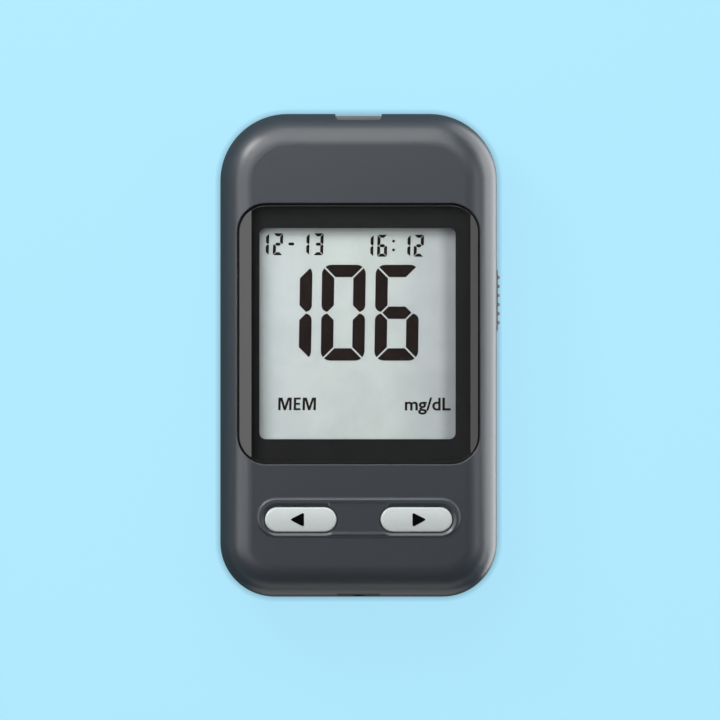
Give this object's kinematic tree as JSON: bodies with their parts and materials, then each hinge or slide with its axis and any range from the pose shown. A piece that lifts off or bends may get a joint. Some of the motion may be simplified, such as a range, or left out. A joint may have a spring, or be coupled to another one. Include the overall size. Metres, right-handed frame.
{
  "type": "blood glucose meter",
  "caption": "Pocket blood glucose meter: rounded case with a wide display window, two stadium buttons, a test strip port at the upper end and a ridged ejector slider on its side.",
  "frame": {"origin": "centre of the flat rear face that the meter rests on", "axes": "+Z out of the display, +Y towards the test strip port, +X to the reader's right"},
  "size_m": [0.0526, 0.0908, 0.0169],
  "materials": {
    "case_plastic": "satin",
    "button_plastic": "polished",
    "lens_acrylic": "polished",
    "gasket_black": "matte",
    "cell_glass": "polished",
    "polarizer_film": "satin",
    "reflector_film": "satin",
    "frame_plastic": "matte",
    "zebra_rubber": "matte",
    "board_laminate": "satin",
    "chip_plastic": "matte",
    "switch_plastic": "satin",
    "port_plastic": "satin",
    "knob_plastic": "satin",
    "jack_plastic": "satin",
    "capacitor_ceramic": "matte",
    "resistor_ceramic": "matte",
    "cell_steel": "brushed",
    "spring_steel": "bright",
    "screw_steel": "black oxide",
    "crystal_steel": "bright",
    "gold_brass": "gold plated",
    "label_film": "matte"
  },
  "bodies": {
    "case": {"front_cover": "case_plastic", "rear_cover": "case_plastic", "display_lens": "lens_acrylic", "lens_gasket": "gasket_black", "lcd_front_polarizer": "polarizer_film", "lcd_front_glass": "cell_glass", "lcd_rear_glass": "cell_glass", "lcd_reflector": "reflector_film", "lcd_frame": "frame_plastic", "zebra_strip_upper": "zebra_rubber", "zebra_strip_lower": "zebra_rubber", "main_board": "board_laminate", "controller_chip": "chip_plastic", "analog_chip": "chip_plastic", "memory_chip": "chip_plastic", "crystal_can": "crystal_steel", "chip_capacitors": "capacitor_ceramic", "chip_resistors": "resistor_ceramic", "buzzer": "switch_plastic", "left_switch_base": "switch_plastic", "right_switch_base": "switch_plastic", "strip_port_bezel": "port_plastic", "strip_connector_housing": "jack_plastic", "strip_contacts": "gold_brass", "ejector_spring": "spring_steel", "left_coin_cell": "cell_steel", "right_coin_cell": "cell_steel", "battery_negative_contacts": "spring_steel", "battery_positive_contacts": "spring_steel", "data_port_bezel": "jack_plastic", "data_jack_housing": "jack_plastic", "data_jack_terminals": "gold_brass", "case_screws": "screw_steel", "board_screws": "screw_steel", "rear_label": "label_film"},
    "left_button": {"left_button": "button_plastic", "left_switch_plunger": "jack_plastic"},
    "right_button": {"right_button": "button_plastic", "right_switch_plunger": "jack_plastic"},
    "ejector": {"ejector_knob": "knob_plastic", "ejector_carriage": "frame_plastic"},
    "battery_door": {"battery_door": "case_plastic"}
  },
  "joints": [
    {"name": "left_button_press", "type": "slide", "parent": "case", "child": "left_button", "axis": [0, 0, -1], "range_m": [0, 0.0005], "stiffness_N_per_m": 2000},
    {"name": "right_button_press", "type": "slide", "parent": "case", "child": "right_button", "axis": [0, 0, -1], "range_m": [0, 0.0005], "stiffness_N_per_m": 2000},
    {"name": "ejector_slide", "type": "slide", "parent": "case", "child": "ejector", "axis": [0, 1, 0], "range_m": [0, 0.004], "stiffness_N_per_m": 150, "deforming": ["ejector_spring"]},
    {"name": "battery_door_slide", "type": "slide", "parent": "case", "child": "battery_door", "axis": [0, -1, 0], "range_m": [0, 0.033]}
  ]
}
